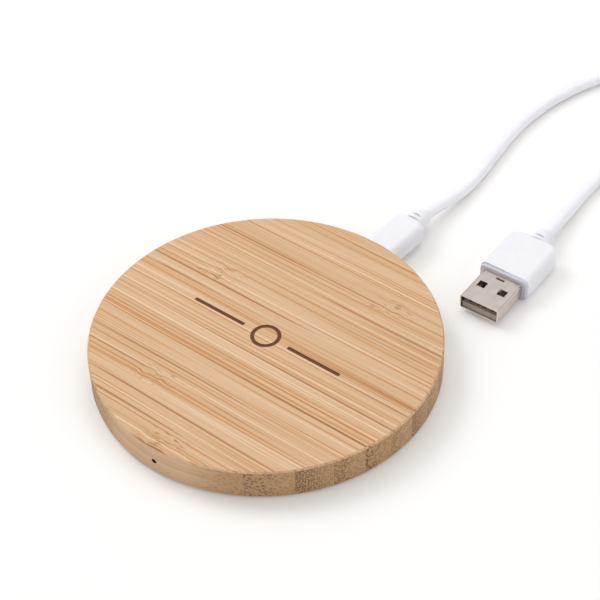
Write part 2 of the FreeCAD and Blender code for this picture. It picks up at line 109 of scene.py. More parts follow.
class NodeBench:
    """Lays shader nodes for one material and joins them up."""

    def __init__(self, name: str) -> None:
        """Start a material with a plain surface shader.

        Args:
            name: The material's name.
        """
        self.material = bpy.data.materials.new(name)
        self.material.use_nodes = True
        self.tree = self.material.node_tree
        self.surface = self.tree.nodes["Principled BSDF"]

    def add(self, kind: str, **settings: object) -> bpy.types.Node:
        """Add one node.

        Args:
            kind: The node's type name.
            settings: Properties set on the node.

        Returns:
            The new node.
        """
        node = self.tree.nodes.new(kind)
        for key, value in settings.items():
            setattr(node, key, value)
        return node

    def feed(self, target: Socket, value: object) -> None:
        """Give a socket a constant or join it to another socket.

        Args:
            target: The input to fill.
            value: A number, a colour, or an output socket.
        """
        if isinstance(value, Socket):
            self.tree.links.new(value, target)
        elif isinstance(value, tuple) and target.type == "RGBA":
            target.default_value = (*value, 1.0)
        else:
            target.default_value = value

    def math(self, operation: str, first: Value, second: Value = 0.0, clamp: bool = False) -> Socket:
        """Work out one value from two.

        Args:
            operation: The math node's operation.
            first: Left value.
            second: Right value.
            clamp: Keep the result between 0 and 1.

        Returns:
            The result's socket.
        """
        node = self.add("ShaderNodeMath", operation=operation, use_clamp=clamp)
        self.feed(node.inputs[0], first)
        self.feed(node.inputs[1], second)
        return node.outputs[0]

    def fade(self, value: Value, start: float, end: float, low: float = 0.0, high: float = 1.0) -> Socket:
        """Pass smoothly from low to high as a value goes from start to end.

        Args:
            value: What is read.
            start: Where the change begins.
            end: Where it is complete.
            low: Result before start.
            high: Result after end.

        Returns:
            The result's socket.
        """
        node = self.add("ShaderNodeMapRange", interpolation_type="SMOOTHSTEP")
        for key, item in zip(("Value", "From Min", "From Max", "To Min", "To Max"), (value, start, end, low, high)):
            self.feed(node.inputs[key], item)
        return node.outputs["Result"]

    def place(self) -> tuple[Socket, ...]:
        """Find the surface point.

        Returns:
            Its X, Y and Z in millimetres.
        """
        coords = self.add("ShaderNodeTexCoord")
        scaled = self.add("ShaderNodeVectorMath", operation="SCALE")
        self.feed(scaled.inputs[0], coords.outputs["Object"])
        scaled.inputs["Scale"].default_value = 1 / MM
        return self.split(scaled.outputs[0])

    def facing(self) -> tuple[Socket, ...]:
        """Give the X, Y and Z of the surface's own direction."""
        return self.split(self.add("ShaderNodeTexCoord").outputs["Normal"])

    def split(self, vector: Socket) -> tuple[Socket, ...]:
        """Take a vector apart.

        Args:
            vector: The vector's socket.

        Returns:
            Its three parts.
        """
        node = self.add("ShaderNodeSeparateXYZ")
        self.feed(node.inputs[0], vector)
        return tuple(node.outputs)

    def vector(self, x: Value, y: Value, z: Value) -> Socket:
        """Join three values into a vector.

        Args:
            x: First part.
            y: Second part.
            z: Third part.

        Returns:
            The vector's socket.
        """
        node = self.add("ShaderNodeCombineXYZ")
        for target, value in zip(node.inputs, (x, y, z)):
            self.feed(target, value)
        return node.outputs[0]

    def noise(self, vector: Socket, scale: float, detail: float = 2.0) -> Socket:
        """Give soft noise.

        Args:
            vector: Where it is read.
            scale: Features for each unit of the vector.
            detail: How many finer layers are added.

        Returns:
            The noise, 0 to 1.
        """
        node = self.add("ShaderNodeTexNoise")
        self.feed(node.inputs["Vector"], vector)
        self.feed(node.inputs["Scale"], scale)
        self.feed(node.inputs["Detail"], detail)
        return node.outputs["Fac"]

    def cells(self, vector: Socket, scale: float) -> Socket:
        """Measure how far the nearest of many scattered points is.

        Args:
            vector: Where it is read.
            scale: Points for each unit of the vector.

        Returns:
            The distance's socket.
        """
        node = self.add("ShaderNodeTexVoronoi")
        self.feed(node.inputs["Vector"], vector)
        self.feed(node.inputs["Scale"], scale)
        return node.outputs["Distance"]

    def blend(self, factor: Value, first: object, second: object) -> Socket:
        """Mix two colours.

        Args:
            factor: 0 for the first, 1 for the second.
            first: A colour or socket.
            second: A colour or socket.

        Returns:
            The mixed colour's socket.
        """
        node = self.add("ShaderNodeMix", data_type="RGBA")
        self.feed(node.inputs[0], factor)
        self.feed(node.inputs[6], first)
        self.feed(node.inputs[7], second)
        return node.outputs[2]

    def relief(self, height: Socket, depth: float, strength: float) -> None:
        """Let a height pattern shape the surface's shading.

        Args:
            height: The pattern, 0 to 1.
            depth: Its depth in metres.
            strength: How fully it counts.
        """
        node = self.add("ShaderNodeBump")
        self.feed(node.inputs["Height"], height)
        node.inputs["Distance"].default_value = depth
        node.inputs["Strength"].default_value = strength
        self.feed(self.surface.inputs["Normal"], node.outputs[0])

    def set(self, **inputs: object) -> None:
        """Fill inputs of the surface shader, with underscores for spaces in their names."""
        for key, value in inputs.items():
            self.feed(self.surface.inputs[key.replace("_", " ")], value)


@dataclass(frozen=True)
class Threads:
    """One family of thin lines along the grain."""

    pitch_mm: float
    width_mm: float
    share: float


@dataclass(frozen=True)
class Patches:
    """One family of soft patches: features for each millimetre, and the noise levels they begin and fill at."""

    along: float
    across: float
    start: float
    end: float


@dataclass(frozen=True)
class BambooFinish:
    """Side-pressed bamboo: glued strips along X, with fibre bundles that run the same way."""

    bore_x_mm: float
    bore_z_mm: float
    rim_mm: float
    top_mm: float
    strip_mm: float = 8.1
    strip_shift_mm: float = 311.0
    strip_tone: float = 0.22
    skin_power: float = 1.2
    seam_share: float = 0.02
    seam_on_top: float = 0.12
    seam_on_end: float = 0.75
    end_from: float = 0.2
    end_full: float = 0.5
    rim_contrast: float = 0.38
    rim_rise: float = 1.6
    bevel_highlight_share: float = 0.35
    bore_mm: float = 0.95
    bore_edge_mm: float = 0.12
    burn_step_mm: float = 0.06
    burn_limit_mm: float = 1.0
    burn_reach_mm: float = 44.0
    char_rate: float = 1.6
    knuckle_spread_mm: float = 74.0
    knuckle_slant_mm: float = 5.0
    knuckle_core_mm: float = 1.0
    knuckle_reach_mm: float = 9.0
    knuckle_luck: float = 0.56
    sway_mm: float = 2.0
    sway_rates: tuple[float, float] = (0.014, 0.03)
    kick_mm: float = 2.6
    kick_rates: tuple[float, float] = (0.2, 0.3)
    other_shift_mm: float = 57.0
    third_shift_mm: float = 149.0
    hair_share: float = 0.3
    tick_share: float = 0.8
    thread_reach: float = 0.0045
    pale_threads: Threads = Threads(1.4, 0.6, 0.75)
    close_threads: Threads = Threads(0.75, 0.42, 0.85)
    open_threads: Threads = Threads(1.2, 0.46, 0.95)
    bold_threads: Threads = Threads(2.1, 0.62, 0.95)
    warm_patches: Patches = Patches(0.012, 0.2, 0.35, 0.68)
    hairs: Patches = Patches(0.02, 3.4, 0.45, 0.7)
    bold_patches: Patches = Patches(0.02, 0.22, 0.38, 0.5)
    ticks: Patches = Patches(0.34, 2.0, 0.56, 0.66)
    dot_rate: float = 1.75
    dot_scatter: float = 0.62
    dot_reach: float = 0.46
    dot_swell: float = 0.12
    dot_edge: float = 0.2
    skin_tint: float = 0.1
    pore_depth_mm: float = 0.03
    pore_rates: tuple[float, float] = (0.3, 7.0)
    smoothest: float = 0.5
    roughest: float = 0.62
    shine: float = 0.3
    ground: Rgb = from_display(214, 180, 145)
    ground_warm: Rgb = from_display(207, 171, 133)
    pale: Rgb = from_display(231, 202, 168)
    line: Rgb = from_display(192, 130, 70)
    dark_line: Rgb = from_display(160, 100, 48)
    # The end grain's own dots and tone, darkened further as painted shade of the rim.
    end_ground_and_shade: Rgb = from_display(184, 146, 103)
    end_dot_and_shade: Rgb = from_display(104, 70, 42)
    joint: Rgb = from_display(140, 96, 60)
    burn: Rgb = from_display(116, 68, 32)
    burn_dark: Rgb = from_display(88, 48, 20)
    # Painted shade: the light's bore is coloured nearly black.
    bore: Rgb = from_display(20, 14, 10)

    def make(self) -> bpy.types.Material:
        """Build the material.

        Returns:
            The finished bamboo material.
        """
        bench = NodeBench("bamboo_laminate")
        x, y, z = bench.place()
        _, _, normal_z = bench.facing()
        upward = bench.math("ABSOLUTE", normal_z)
        outward = bench.fade(bench.math("ABSOLUTE", x), self.rim_mm * self.end_from, self.rim_mm * self.end_full)
        endness = bench.math("MULTIPLY", outward, bench.fade(upward, 0.5, 0.8, 1.0, 0.0))
        level = bench.fade(upward, 0.3, 0.9)
        flatness = bench.fade(level, 0.0, 1.0, self.rim_contrast, 1.0)
        strips = bench.math("DIVIDE", y, self.strip_mm)
        across = bench.math("FRACT", strips)
        chance = bench.add("ShaderNodeTexWhiteNoise", noise_dimensions="1D")
        bench.feed(chance.inputs["W"], bench.math("FLOOR", strips))
        luck, second_luck, third_luck = bench.split(chance.outputs["Color"])
        dense = bench.math("POWER", bench.math("SUBTRACT", 1.0, across), self.skin_power)
        shift = bench.math("MULTIPLY", luck, self.strip_shift_mm)

        knot = self.knuckle(bench, x, across, luck, second_luck)
        knot = bench.math("MULTIPLY", knot, level)
        bowed = self.bowed_grain(bench, x, y, z, knot)
        rise = bench.math("SUBTRACT", self.rim_rise, bench.math("MULTIPLY", level, self.rim_rise))
        upright = bench.math("MULTIPLY", z, rise)
        bowed = bench.math("ADD", bench.math("MULTIPLY", bowed, level), upright)
        side = self.long_grain(bench, (x, bowed, z), shift, dense, flatness, knot)
        end = self.end_grain(bench, (x, y, z), shift, luck, dense)
        wood = bench.blend(endness, side, end)
        tone = bench.math("MULTIPLY", third_luck, self.strip_tone)
        wood = bench.blend(tone, wood, self.ground_warm)
        seam = bench.fade(across, 0.0, self.seam_share, 1.0, 0.0)
        glue = bench.fade(endness, 0.0, 1.0, self.seam_on_top, self.seam_on_end)
        wood = bench.blend(bench.math("MULTIPLY", seam, glue), wood, self.joint)
        # Painted highlight: the top edge's chamfer is blended toward pale, most where the grain ends.
        bevel_highlight = bench.math("MULTIPLY", bench.fade(normal_z, 0.3, 0.6), bench.fade(normal_z, 0.8, 0.95, 1.0, 0.0))
        wood = bench.blend(self.shared(bench, bevel_highlight, endness, self.bevel_highlight_share), wood, self.pale)

        burnt = self.burnt(bench, x, y, z)
        char = bench.blend(bench.noise(bench.vector(x, y, z), self.char_rate, 4.0), self.burn, self.burn_dark)
        wood = bench.blend(burnt, wood, char)
        # Painted shade on the wall of the light's bore.
        wood = bench.blend(self.painted_bore_shade(bench, x, y, z), wood, self.bore)
        pores = bench.noise(self.drawn(bench, (x, y, z), shift, *self.pore_rates), 1.0, 3.0)
        bench.set(Base_Color=wood, Roughness=bench.fade(pores, 0.3, 0.7, self.smoothest, self.roughest))
        bench.surface.inputs["Specular IOR Level"].default_value = self.shine
        bench.relief(pores, self.pore_depth_mm * MM, 0.6)
        return bench.material

    def drawn(self, bench: NodeBench, place: Sequence[Value], shift: Value, along: float, across: float) -> Socket:
        """Give coordinates stretched along the grain, shifted for each strip.

        Args:
            bench: Where the nodes go.
            place: X, Y and Z in millimetres.
            shift: The strip's own shift.
            along: Features for each millimetre along the grain.
            across: Features for each millimetre across it.

        Returns:
            The stretched vector's socket.
        """
        x, y, z = place
        moved = bench.math("ADD", x, shift)
        return bench.vector(bench.math("MULTIPLY", moved, along), bench.math("MULTIPLY", y, across),
                            bench.math("MULTIPLY", z, across))

    def knuckle(self, bench: NodeBench, x: Value, across: Value, luck: Value, second_luck: Value) -> Socket:
        """Mark the short stretch of a strip where the cane had a knuckle.

        Args:
            bench: Where the nodes go.
            x: Place along the grain.
            across: Place across the strip, 0 to 1.
            luck: The strip's first random value.
            second_luck: The strip's second random value.

        Returns:
            1 at a knuckle's middle, 0 away from it.
        """
        centre = bench.math("MULTIPLY", bench.math("SUBTRACT", luck, 0.5), self.knuckle_spread_mm)
        slant = bench.math("MULTIPLY", bench.math("SUBTRACT", across, 0.5), self.knuckle_slant_mm)
        away = bench.math("ABSOLUTE", bench.math("SUBTRACT", bench.math("SUBTRACT", x, centre), slant))
        near = bench.fade(away, self.knuckle_core_mm, self.knuckle_reach_mm, 1.0, 0.0)
        inside = bench.fade(bench.math("ABSOLUTE", bench.math("SUBTRACT", across, 0.5)), 0.3, 0.5, 1.0, 0.0)
        kept = bench.fade(second_luck, self.knuckle_luck, self.knuckle_luck + 0.04)
        return bench.math("MULTIPLY", bench.math("MULTIPLY", near, kept), inside)

    def bowed_grain(self, bench: NodeBench, x: Value, y: Value, z: Value, knot: Value) -> Socket:
        """Let the fibres wander a little, and more at a knuckle.

        Args:
            bench: Where the nodes go.
            x: Place along the grain.
            y: Place across the strips.
            z: Height.
            knot: Strength of a knuckle here.

        Returns:
            The place across the strips with that wander added.
        """
        slow = bench.noise(self.drawn(bench, (x, y, z), 0.0, *self.sway_rates), 1.0, 1.0)
        quick = bench.noise(self.drawn(bench, (x, y, z), 0.0, *self.kick_rates), 1.0, 1.0)
        sway = bench.math("MULTIPLY", bench.math("SUBTRACT", slow, 0.5), self.sway_mm)
        kick = bench.math("MULTIPLY", bench.math("SUBTRACT", quick, 0.5), bench.math("MULTIPLY", knot, self.kick_mm))
        return bench.math("ADD", y, bench.math("ADD", sway, kick))

    def patch(self, bench: NodeBench, place: Sequence[Value], shift: Value, family: Patches) -> Socket:
        """Give soft patches drawn out along the grain.

        Args:
            bench: Where the nodes go.
            place: X, Y and Z in millimetres.
            shift: What keeps this family apart from the others.
            family: Size and strength of its patches.

        Returns:
            1 in a patch, 0 beside it.
        """
        stretched = self.drawn(bench, place, shift, family.along, family.across)
        return bench.fade(bench.noise(stretched, 1.0, 1.0), family.start, family.end)

    def threads(self, bench: NodeBench, place: Sequence[Value], shift: Value, family: Threads) -> Socket:
        """Give thin lines along the grain that taper out at both ends.

        Args:
            bench: Where the nodes go.
            place: X, Y and Z in millimetres.
            shift: What keeps this family apart from the others.
            family: Pitch and width of its lines.

        Returns:
            1 in a line, 0 beside it.
        """
        x, y, _ = place
        node = bench.add("ShaderNodeTexVoronoi", voronoi_dimensions="2D")
        along = bench.math("MULTIPLY", bench.math("ADD", x, shift), self.thread_reach / family.pitch_mm)
        bench.feed(node.inputs["Vector"], bench.vector(along, bench.math("DIVIDE", y, family.pitch_mm), 0.0))
        node.inputs["Scale"].default_value = 1.0
        reach = 0.5 * family.width_mm / family.pitch_mm
        return bench.fade(node.outputs["Distance"], reach * 0.5, reach * 1.25, 1.0, 0.0)

    def long_grain(self, bench: NodeBench, place: Sequence[Value], shift: Value, dense: Value, flatness: Value,
                   knot: Value) -> Socket:
        """Colour the strips' faces: pale ground, fine orange lines in groups, a few dark ones.

        Args:
            bench: Where the nodes go.
            place: X, Y with the fibres' wander, and Z.
            shift: The strip's own shift.
            dense: How closely the bundles stand here.
            flatness: 1 on the top, less on the rim.
            knot: Strength of a knuckle here.

        Returns:
            The colour's socket.
        """
        other = bench.math("ADD", shift, self.other_shift_mm)
        third = bench.math("ADD", shift, self.third_shift_mm)
        grouped = bench.math("MULTIPLY", bench.fade(dense, 0.1, 0.6, 0.2, 1.0), flatness)
        colour = bench.blend(self.patch(bench, place, other, self.warm_patches), self.ground, self.ground_warm)
        hair = self.patch(bench, place, shift, self.hairs)
        colour = bench.blend(self.shared(bench, hair, flatness, self.hair_share), colour, self.line)
        for family, offset, mask, ink in ((self.pale_threads, third, flatness, self.pale),
                                          (self.close_threads, other, grouped, self.line),
                                          (self.open_threads, shift, flatness, self.line)):
            lines = self.threads(bench, place, offset, family)
            colour = bench.blend(self.shared(bench, lines, mask, family.share), colour, ink)
        bold = bench.math("MULTIPLY", self.threads(bench, place, third, self.bold_threads),
                          self.patch(bench, place, third, self.bold_patches))
        colour = bench.blend(self.shared(bench, bold, flatness, self.bold_threads.share), colour, self.dark_line)
        ticks = self.patch(bench, place, 0.0, self.ticks)
        return bench.blend(self.shared(bench, ticks, knot, self.tick_share), colour, self.dark_line)

    def shared(self, bench: NodeBench, first: Value, second: Value, share: float) -> Socket:
        """Multiply two masks and a plain share."""
        return bench.math("MULTIPLY", bench.math("MULTIPLY", first, second), share)

    def end_grain(self, bench: NodeBench, place: Sequence[Value], shift: Value, luck: Value, dense: Value) -> Socket:
        """Colour the strips' ends: rows of small dark bundles, closest together by the outer skin, darker as painted
        shade.

        Args:
            bench: Where the nodes go.
            place: X, Y and Z in millimetres.
            shift: The strip's own shift.
            luck: The strip's first random value.
            dense: How closely the bundles stand here.

        Returns:
            The colour's socket.
        """
        x, y, z = place
        lean = bench.math("MULTIPLY", z, bench.math("SUBTRACT", luck, 0.35))
        leaned = bench.math("ADD", y, lean)
        node = bench.add("ShaderNodeTexVoronoi")
        bench.feed(node.inputs["Vector"], self.drawn(bench, (x, leaned, z), shift, 0.01, self.dot_rate))
        node.inputs["Scale"].default_value = 1.0
        node.inputs["Randomness"].default_value = self.dot_scatter
        reach = bench.math("ADD", bench.math("MULTIPLY", dense, self.dot_swell), self.dot_reach)
        dots = bench.math("DIVIDE", bench.math("SUBTRACT", reach, node.outputs["Distance"]), self.dot_edge, True)
        strength = bench.fade(dense, 0.0, 0.8, 0.6, 1.0)
        colour = bench.blend(bench.math("MULTIPLY", dense, self.skin_tint), self.end_ground_and_shade, self.end_dot_and_shade)
        return bench.blend(bench.math("MULTIPLY", dots, strength), colour, self.end_dot_and_shade)

    def burnt(self, bench: NodeBench, x: Value, y: Value, z: Value) -> Socket:
        """Mark the shallow engraving in the top face.

        Args:
            bench: Where the nodes go.
            x: Place along the grain.
            y: Place across the strips.
            z: Height.

        Returns:
            1 in the engraving, 0 elsewhere.
        """
        below = bench.math("LESS_THAN", z, self.top_mm - self.burn_step_mm)
        above = bench.math("GREATER_THAN", z, self.top_mm - self.burn_limit_mm)
        inner = bench.math("LESS_THAN", self.squares(bench, x, y), self.burn_reach_mm ** 2)
        return bench.math("MULTIPLY", bench.math("MULTIPLY", below, above), inner)

    def painted_bore_shade(self, bench: NodeBench, x: Value, y: Value, z: Value) -> Socket:
        """Mark the wall of the light's bore for painted shade, nearly black all the way in.

        Args:
            bench: Where the nodes go.
            x: Place along the grain.
            y: Place across the strips.
            z: Height.

        Returns:
            1 in the bore, 0 elsewhere.
        """
        off_x = bench.math("SUBTRACT", x, self.bore_x_mm)
        off_axis = self.squares(bench, off_x, bench.math("SUBTRACT", z, self.bore_z_mm))
        near = bench.math("LESS_THAN", off_axis, self.bore_mm ** 2)
        inside = bench.math("LESS_THAN", self.squares(bench, x, y), (self.rim_mm - self.bore_edge_mm) ** 2)
        front = bench.math("LESS_THAN", y, 0.0)
        return bench.math("MULTIPLY", bench.math("MULTIPLY", near, inside), front)

    def squares(self, bench: NodeBench, first: Value, second: Value) -> Socket:
        """Add two values' squares."""
        return bench.math("ADD", bench.math("MULTIPLY", first, first), bench.math("MULTIPLY", second, second))


@dataclass(frozen=True)
class MouldedFinish:
    """Moulded plastic or rubber with a fine surface texture and slight cloudiness of colour."""

    name: str
    colour: Shown
    shade: Shown
    roughness: float = 0.42
    grain: Grain = Grain.SATIN
    depth_mm: float = 0.01
    groove: float = 0.0
    soft_mm: float = 0.0
    lip_shade_y_mm: float | None = None
    cloud_rate: float = 0.16
    satin_rate: float = 5.5
    pore_rate: float = 2.2
    spark_rate: float = 3.4
    soft_share: float = 0.45
    shine: float = 0.4
    groove_reach_mm: float = 1.2

    def make(self) -> bpy.types.Material:
        """Build the material.

        Returns:
            The finished moulded material.
        """
        bench = NodeBench(self.name)
        x, y, z = bench.place()
        here = bench.vector(x, y, z)
        cloud = bench.noise(here, self.cloud_rate, 3.0)
        if self.grain is Grain.PORES:
            speck = bench.fade(bench.cells(here, self.pore_rate), 0.0, 0.5)
        elif self.grain is Grain.SPARK:
            speck = bench.cells(here, self.spark_rate)
        else:
            speck = bench.noise(here, self.satin_rate, 3.0)
        tone = bench.math("ADD", bench.fade(cloud, 0.35, 0.7, 0.0, 0.6), bench.math("MULTIPLY", speck, 0.3), True)
        colour = bench.blend(tone, from_display(*self.colour), from_display(*self.shade))
        # Painted shade: grooves and inner corners turn grey where occlusion is close.
        if self.groove > 0:
            colour = bench.blend(self.grooves(bench), colour, PAINTED_GROOVE_SHADE)
        # Painted shade on the grip's front lip.
        if self.lip_shade_y_mm is not None:
            colour = bench.blend(bench.math("LESS_THAN", y, self.lip_shade_y_mm), colour, PAINTED_LIP_SHADE)
        bench.set(Base_Color=colour)
        if self.soft_mm > 0:
            bench.surface.inputs["Subsurface Weight"].default_value = self.soft_share
            bench.surface.inputs["Subsurface Radius"].default_value = (1.0, 1.0, 1.0)
            bench.surface.inputs["Subsurface Scale"].default_value = self.soft_mm * MM
        bench.set(Roughness=bench.fade(speck, 0.3, 0.8, self.roughness - 0.05, self.roughness + 0.07))
        bench.surface.inputs["Specular IOR Level"].default_value = self.shine
        bench.relief(speck, self.depth_mm * MM, 0.5)
        return bench.material

    def grooves(self, bench: NodeBench) -> Socket:
        """Mark narrow grooves and inner corners for painted shade.

        Args:
            bench: Where the nodes go.

        Returns:
            Up to the groove share in a groove, 0 on open faces.
        """
        closed = bench.add("ShaderNodeAmbientOcclusion", only_local=True, samples=8)
        closed.inputs["Distance"].default_value = self.groove_reach_mm * MM
        return bench.fade(closed.outputs["AO"], 0.05, 0.48, self.groove, 0.0)


@dataclass(frozen=True)
class MetalFinish:
    """Plated or drawn metal with fine lines along Y and a little staining."""

    name: str
    colour: Shown
    shade: Shown
    roughness: float = 0.3
    line_rate: float = 9.0
    along_rate: float = 0.35
    stain_rate: float = 0.35
    polish_spread: float = 0.008
    line_depth_mm: float = 0.0003

    def make(self) -> bpy.types.Material:
        """Build the material.

        Returns:
            The finished metal material.
        """
        bench = NodeBench(self.name)
        x, y, z = bench.place()
        drawn = bench.vector(bench.math("MULTIPLY", x, self.line_rate), bench.math("MULTIPLY", y, self.along_rate),
                             bench.math("MULTIPLY", z, self.line_rate))
        lines = bench.noise(drawn, 1.0, 3.0)
        stain = bench.fade(bench.noise(bench.vector(x, y, z), self.stain_rate, 4.0), 0.35, 0.75)
        bench.set(Base_Color=bench.blend(stain, from_display(*self.colour), from_display(*self.shade)))
        smooth, rough = self.roughness - self.polish_spread, self.roughness + self.polish_spread
        bench.set(Roughness=bench.fade(lines, 0.3, 0.7, smooth, rough))
        bench.surface.inputs["Metallic"].default_value = 1.0
        bench.relief(lines, self.line_depth_mm * MM, 0.3)
        return bench.material


@dataclass(frozen=True)
class BoardFinish:
    """Green solder mask with copper tracks showing faintly through it."""

    mask: Rgb = from_display(18, 92, 52)
    track: Rgb = from_display(38, 128, 74)
    lane_rate: float = 0.22
    lane_wander: float = 2.5
    roughness: float = 0.28
    track_depth_mm: float = 0.03

    def make(self) -> bpy.types.Material:
        """Build the material.

        Returns:
            The finished board material.
        """
        bench = NodeBench("solder_mask")
        x, y, z = bench.place()
        lanes = bench.add("ShaderNodeTexWave", wave_type="BANDS", bands_direction="DIAGONAL")
        bench.feed(lanes.inputs["Vector"], bench.vector(x, y, z))
        lanes.inputs["Scale"].default_value = self.lane_rate
        lanes.inputs["Distortion"].default_value = self.lane_wander
        tracks = bench.fade(lanes.outputs["Fac"], 0.62, 0.7)
        bench.set(Base_Color=bench.blend(tracks, self.mask, self.track), Roughness=self.roughness)
        bench.relief(tracks, self.track_depth_mm * MM, 0.4)
        return bench.material


@dataclass(frozen=True)
class ClearFinish:
    """Clear plastic coloured dark as painted shade, so the light's bore looks black, with a trace of haze."""

    shade_tint: Rgb = from_display(44, 44, 48)
    deep_shade_tint: Rgb = from_display(26, 26, 30)
    haze_rate: float = 1.2
    clear_share: float = 0.3
    refraction: float = 1.49

    def make(self) -> bpy.types.Material:
        """Build the material.

        Returns:
            The finished clear material.
        """
        bench = NodeBench("light_pipe_painted_shade")
        x, y, z = bench.place()
        haze = bench.noise(bench.vector(x, y, z), self.haze_rate, 3.0)
        bench.set(Base_Color=bench.blend(haze, self.shade_tint, self.deep_shade_tint))
        bench.set(Roughness=bench.fade(haze, 0.3, 0.8, 0.12, 0.3))
        bench.surface.inputs["Transmission Weight"].default_value = self.clear_share
        bench.surface.inputs["IOR"].default_value = self.refraction
        return bench.material


@dataclass(frozen=True)
class WovenFinish:
    """Narrow woven strap: fine ribs across it with a fuzzy bloom."""

    colour: Rgb = from_display(232, 232, 234)
    gap: Rgb = from_display(176, 176, 180)
    rib_rate: float = 1.6
    fuzz_rate: float = 9.0
    bloom: float = 0.35
    rib_depth_mm: float = 0.12

    def make(self) -> bpy.types.Material:
        """Build the material.

        Returns:
            The finished strap material.
        """
        bench = NodeBench("woven_strap")
        x, y, z = bench.place()
        path = bench.math("ADD", x, z)
        pitch = self.rib_rate * math.tau
        warp = bench.math("SINE", bench.math("MULTIPLY", y, pitch))
        weft = bench.math("SINE", bench.math("MULTIPLY", path, pitch))
        weave = bench.math("ADD", bench.math("MULTIPLY", bench.math("MULTIPLY", warp, weft), 0.5), 0.5)
        fuzz = bench.noise(bench.vector(x, y, z), self.fuzz_rate, 3.0)
        bench.set(Base_Color=bench.blend(bench.math("MULTIPLY", weave, fuzz), self.colour, self.gap), Roughness=0.85)
        bench.surface.inputs["Sheen Weight"].default_value = self.bloom
        bench.relief(weave, self.rib_depth_mm * MM, 0.7)
        return bench.material


Finish = BambooFinish | MouldedFinish | MetalFinish | BoardFinish | ClearFinish | WovenFinish


@dataclass
class Workshop:
    """Keeps the finishes, each made once, and puts them on pieces."""

    finishes: dict[str, Finish] = field(default_factory=dict)
    made: dict[str, bpy.types.Material] = field(default_factory=dict)

    def stock(self) -> None:
        """Lay in a finish for every material slot of the record."""
        self.finishes = {
            "bamboo": self.bamboo(),
            "cover_plastic": MouldedFinish("black_cover", (44, 44, 46), (30, 30, 32), 0.55, Grain.SPARK, 0.03),
            "foot_rubber": MouldedFinish("foot_rubber", (36, 36, 37), (24, 24, 25), 0.7, Grain.SATIN, 0.02),
            "screw_steel": MetalFinish("zinc_screws", (188, 188, 190), (150, 150, 152), 0.34),
            "board_green": BoardFinish(),
            "chip_black": MouldedFinish("chip_package", (34, 34, 36), (24, 24, 26), 0.5, Grain.SPARK),
            "ceramic": MouldedFinish("fired_ceramic", (196, 170, 138), (168, 140, 108), 0.4, Grain.PORES),
            "litz_copper": MetalFinish("enamelled_copper", (196, 118, 66), (160, 88, 46), 0.34),
            "ferrite": MouldedFinish("sintered_ferrite", (62, 60, 60), (44, 42, 42), 0.6, Grain.PORES, 0.02),
            "glue_film": MouldedFinish("amber_film", (216, 186, 116), (190, 158, 90), 0.35),
            "foam": MouldedFinish("closed_foam", (70, 70, 72), (46, 46, 48), 0.9, Grain.PORES, 0.12),
            "clear_plastic": ClearFinish(),
            "plug_metal": MetalFinish("nickel_shell", (222, 210, 202), (210, 198, 189), 0.32, 4.0),
            "contact_gold": MetalFinish("gold_contacts", (232, 196, 120), (204, 166, 92), 0.25),
            # Painted shade: the white insert is coloured grey-beige for the shade under the shell's upper lip.
            "white_insert": MouldedFinish("plug_insulator_painted_shade", (176, 165, 155), (156, 145, 136), 0.4),
            "white_grip": self.white_grip(),
            "cord_jacket": MouldedFinish("white_jacket", (243, 242, 247), (238, 237, 243), depth_mm=0.006,
                                         soft_mm=1.2),
            "tie_strap": WovenFinish(),
        }

    def white_grip(self, lip_shade_y_mm: float | None = None) -> MouldedFinish:
        """Give the grips' white finish.

        Args:
            lip_shade_y_mm: Where the painted shade on a grip's front lip ends, if it has one.

        Returns:
            The finish, plain or with painted shade on the lip.
        """
        name = "white_grip" if lip_shade_y_mm is None else "white_grip_lip_shade"
        return MouldedFinish(name, (237, 237, 242), (232, 232, 237), 0.5, depth_mm=0.006, groove=0.85, soft_mm=1.2,
                             lip_shade_y_mm=lip_shade_y_mm)

    def bamboo(self) -> BambooFinish:
        """Fit the bamboo finish to the disc's own size and light bore.

        Returns:
            The finish.
        """
        _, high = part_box("bamboo_body")
        pipe_low, pipe_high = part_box("light_pipe")
        middle = [(a + b) / 2 / MM for a, b in zip(pipe_low, pipe_high)]
        return BambooFinish(middle[0], middle[2], high[0] / MM, high[2] / MM)

    def material(self, slot: str) -> bpy.types.Material:
        """Give the slot's material, making it the first time.

        Args:
            slot: A material slot named in the record.

        Returns:
            The slot's material.
        """
        if slot not in self.made:
            self.made[slot] = self.finishes[slot].make()
        return self.made[slot]

    def dress(self, piece: bpy.types.Object, slot: str) -> None:
        """Put a slot's material on a piece, in place of what it had.

        Args:
            piece: The mesh or curve to dress.
            slot: A material slot named in the record.
        """
        material = self.material(slot)
        if len(piece.material_slots) == 0:
            piece.data.materials.append(material)
        for entry in piece.material_slots:
            entry.material = material


@dataclass
class RigidPieces:
    """Every piece that keeps its modelled shape: the disc, its inside, the cover and both plugs."""

    nodes: dict[str, bpy.types.Object]
    subparts: list[dict[str, str]]
    workshop: Workshop
    lip_shade_mm: float = 1.2

    def dress(self) -> None:
        """Give every piece the finish of its slot in the record."""
        for entry in self.subparts:
            piece = self.nodes[entry["node"]]
            self.workshop.dress(piece, entry["material_slot"])
            LOG.info("dressed %s as %s", piece.name, entry["material_slot"])
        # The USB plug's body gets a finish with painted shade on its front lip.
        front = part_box("usb_plug_body")[0][1] / MM
        lip_shaded_grip = self.workshop.white_grip(front + self.lip_shade_mm).make()
        for entry in self.nodes["usb_plug_body"].material_slots:
            entry.material = lip_shaded_grip


